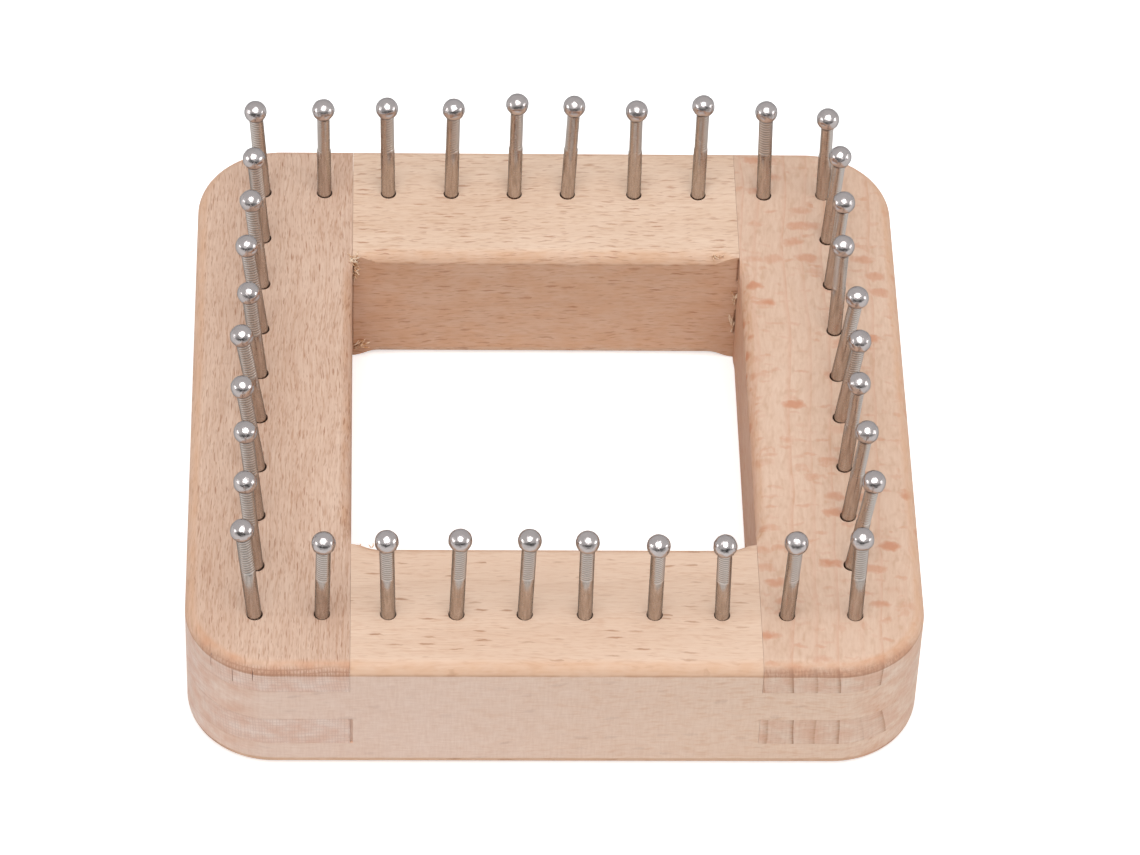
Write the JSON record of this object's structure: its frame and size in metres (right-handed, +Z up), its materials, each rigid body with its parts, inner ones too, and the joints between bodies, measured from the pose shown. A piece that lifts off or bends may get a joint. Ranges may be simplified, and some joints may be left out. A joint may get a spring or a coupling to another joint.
{
  "type": "loom",
  "caption": "Small square pin loom: a finger-jointed beech frame with rows of ball-headed steel nails round its top face.",
  "frame": {"origin": "centre of the frame's underside", "axes": "+Z up, nails upwards; X along the front and back rails; Y along the side rails, with the front at -Y"},
  "size_m": [0.1, 0.1, 0.0381],
  "materials": {
    "flat_sawn_beech": "bare sanded beech, flat-sawn",
    "quarter_sawn_beech": "bare sanded beech, quarter-sawn",
    "nail_steel": "bright drawn wire with polished ball heads"
  },
  "bodies": {
    "root": {"rail_left": "flat_sawn_beech", "rail_right": "quarter_sawn_beech", "rail_front": "flat_sawn_beech", "rail_back": "flat_sawn_beech", "nail_back_01": "nail_steel", "nail_back_02": "nail_steel", "nail_back_03": "nail_steel", "nail_back_04": "nail_steel", "nail_back_05": "nail_steel", "nail_back_06": "nail_steel", "nail_back_07": "nail_steel", "nail_back_08": "nail_steel", "nail_back_09": "nail_steel", "nail_back_10": "nail_steel", "nail_front_01": "nail_steel", "nail_front_02": "nail_steel", "nail_front_03": "nail_steel", "nail_front_04": "nail_steel", "nail_front_05": "nail_steel", "nail_front_06": "nail_steel", "nail_front_07": "nail_steel", "nail_front_08": "nail_steel", "nail_front_09": "nail_steel", "nail_front_10": "nail_steel", "nail_left_01": "nail_steel", "nail_left_02": "nail_steel", "nail_left_03": "nail_steel", "nail_left_04": "nail_steel", "nail_left_05": "nail_steel", "nail_left_06": "nail_steel", "nail_left_07": "nail_steel", "nail_left_08": "nail_steel", "nail_right_01": "nail_steel", "nail_right_02": "nail_steel", "nail_right_03": "nail_steel", "nail_right_04": "nail_steel", "nail_right_05": "nail_steel", "nail_right_06": "nail_steel", "nail_right_07": "nail_steel", "nail_right_08": "nail_steel"}
  },
  "joints": []
}
